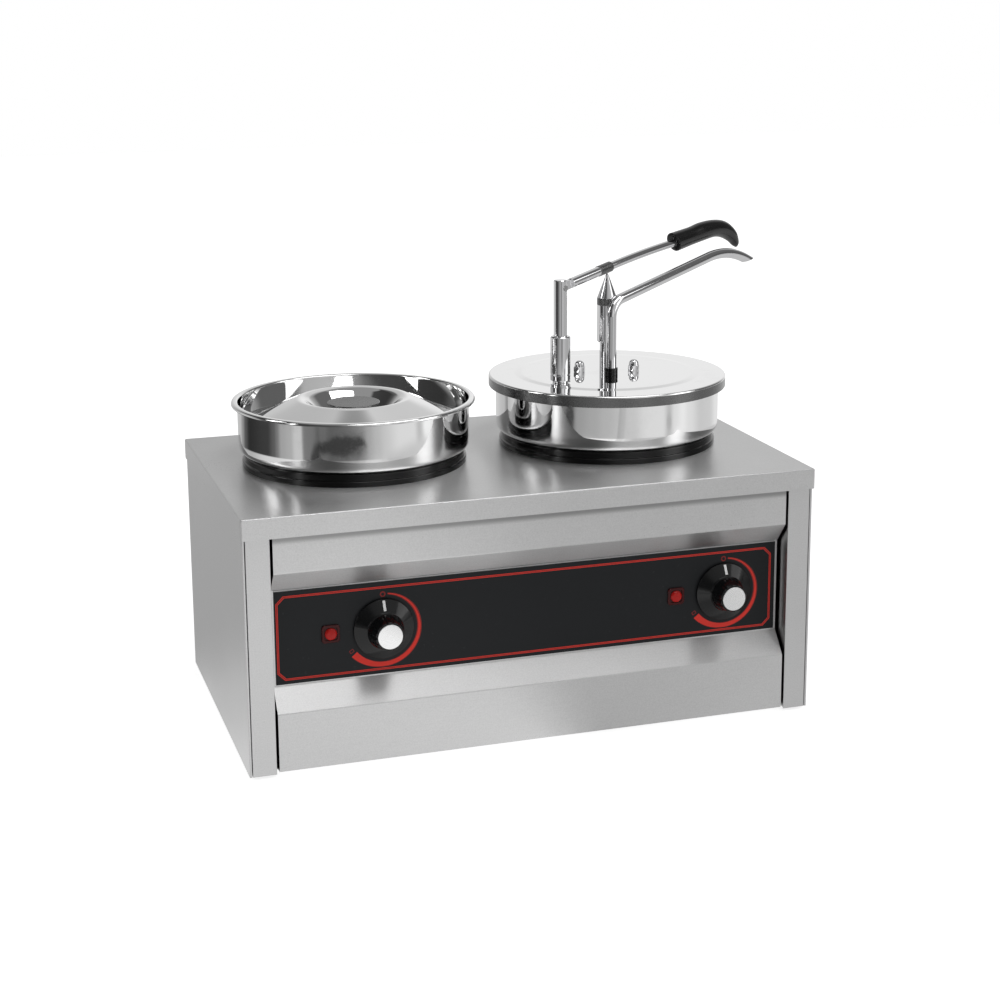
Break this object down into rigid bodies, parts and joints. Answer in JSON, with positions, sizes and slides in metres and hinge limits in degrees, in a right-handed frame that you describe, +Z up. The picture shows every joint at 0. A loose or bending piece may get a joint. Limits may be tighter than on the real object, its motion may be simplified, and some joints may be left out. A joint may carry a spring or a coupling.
{
  "type": "two-pot sauce warmer with lever pump",
  "caption": "table-top stainless steel food warmer with two round pots, one with a plain lid and one with a lever-operated sauce pump, two control knobs and indicator lamps",
  "frame": {"origin": "on the table under the middle of the whole object, the spout and lever that reach out to the right included", "axes": "+Z up, -Y towards the operator and the knobs, +X to the right, the side with the pump"},
  "size_m": [0.5772, 0.314, 0.4241],
  "materials": {
    "satin_steel": "fine satin grain, slightly speckled",
    "plain_steel": "plain mill finish",
    "polished_steel": "mirror polished stainless steel",
    "chrome": "bright polished",
    "satin_band": "dull turned band",
    "spun_aluminium": "spun finish with fine rings",
    "brass": "plain",
    "black_panel": "black printed panel with red lines",
    "knob_black": "glossy black",
    "grip_black": "glossy black, slightly worn",
    "black_plastic": "black",
    "black_rubber": "black",
    "black_seal": "black with a soft sheen",
    "white_seal": "translucent white silicone",
    "white_plastic": "off-white",
    "red_lens": "clear red"
  },
  "bodies": {
    "housing": {"top_plate": "satin_steel", "side_panel_left": "satin_steel", "side_panel_right": "satin_steel", "corner_posts": "satin_steel", "fascia": "satin_steel", "control_plate": "black_panel", "base_pan": "plain_steel", "feet": "black_rubber", "back_panel": "plain_steel", "back_panel_screws": "plain_steel", "terminal_block": "white_plastic", "cable_gland": "black_plastic", "well_left": "plain_steel", "well_right": "plain_steel", "seal_rings": "black_seal", "heating_elements": "plain_steel", "thermostats": "white_plastic", "indicator_bezels": "black_plastic", "indicator_lenses": "red_lens"},
    "dial_left": {"knob_left": "knob_black", "knob_left_cap": "spun_aluminium", "knob_left_shaft": "brass"},
    "dial_right": {"knob_right": "knob_black", "knob_right_cap": "spun_aluminium", "knob_right_shaft": "brass"},
    "left_pot": {"pot_left": "polished_steel"},
    "left_lid": {"lid_left": "polished_steel", "lid_left_knob": "polished_steel"},
    "right_pot": {"pot_right": "polished_steel"},
    "pump": {"pump_lid": "polished_steel", "pump_lid_seal": "white_seal", "pump_head": "plain_steel", "head_studs": "plain_steel", "acorn_nuts": "chrome", "guide_tube": "chrome", "pump_cylinder": "plain_steel", "valve_block": "plain_steel", "valve_stop_pins": "plain_steel", "spout_tube": "chrome", "riser_seal": "black_seal", "post_spigot": "chrome", "lock_pin": "chrome", "post_sleeve": "chrome", "post_bar": "chrome", "post_nut": "plain_steel", "lever_pivot": "plain_steel", "return_spring": "plain_steel"},
    "lever": {"lever_arm": "chrome", "lever_collar": "chrome", "lever_rod": "chrome", "lever_grip": "grip_black"},
    "plunger": {"plunger_cone": "chrome", "plunger_band": "satin_band", "plunger_case": "chrome", "plunger_rod": "plain_steel", "piston": "white_plastic", "piston_seal": "white_seal"},
    "valve_ball_in": {"inlet_ball": "plain_steel"},
    "valve_ball_out": {"outlet_ball": "plain_steel"}
  },
  "joints": [
    {"name": "dial_left_turn", "type": "hinge", "parent": "housing", "child": "dial_left", "pos_m": [-0.1654, -0.1319, 0.1173], "axis": [0, 1, 0], "range_deg": [0, 230]},
    {"name": "dial_right_turn", "type": "hinge", "parent": "housing", "child": "dial_right", "pos_m": [0.1514, -0.1319, 0.1173], "axis": [0, 1, 0], "range_deg": [0, 230]},
    {"name": "pot_left_lift", "type": "slide", "parent": "housing", "child": "left_pot", "axis": [0, 0, 1], "range_m": [0, 0.12]},
    {"name": "lid_left_lift", "type": "slide", "parent": "left_pot", "child": "left_lid", "axis": [0, 0, 1], "range_m": [0, 0.06]},
    {"name": "pot_right_lift", "type": "slide", "parent": "housing", "child": "right_pot", "axis": [0, 0, 1], "range_m": [0, 0.12]},
    {"name": "pump_lift", "type": "slide", "parent": "right_pot", "child": "pump", "axis": [0, 0, 1], "range_m": [0, 0.16]},
    {"name": "lever_press", "type": "hinge", "parent": "pump", "child": "lever", "pos_m": [0.03634, -0.01515, 0.3837], "axis": [-0.5, 0.866, 0], "range_deg": [0, 21]},
    {"name": "plunger_slide", "type": "slide", "parent": "pump", "child": "plunger", "axis": [0, 0, 1], "range_m": [-0.0251, 0], "stiffness_N_per_m": 400, "springref_m": 0.02, "deforming": ["return_spring"]},
    {"name": "ball_in_lift", "type": "slide", "parent": "pump", "child": "valve_ball_in", "axis": [0, 0, 1], "range_m": [0, 0.003]},
    {"name": "ball_out_lift", "type": "slide", "parent": "pump", "child": "valve_ball_out", "axis": [0, 0, 1], "range_m": [0, 0.003]}
  ],
  "couplings": [
    {"joint": "plunger_slide", "follows": "lever_press", "m_per_rad": -0.068209}
  ]
}
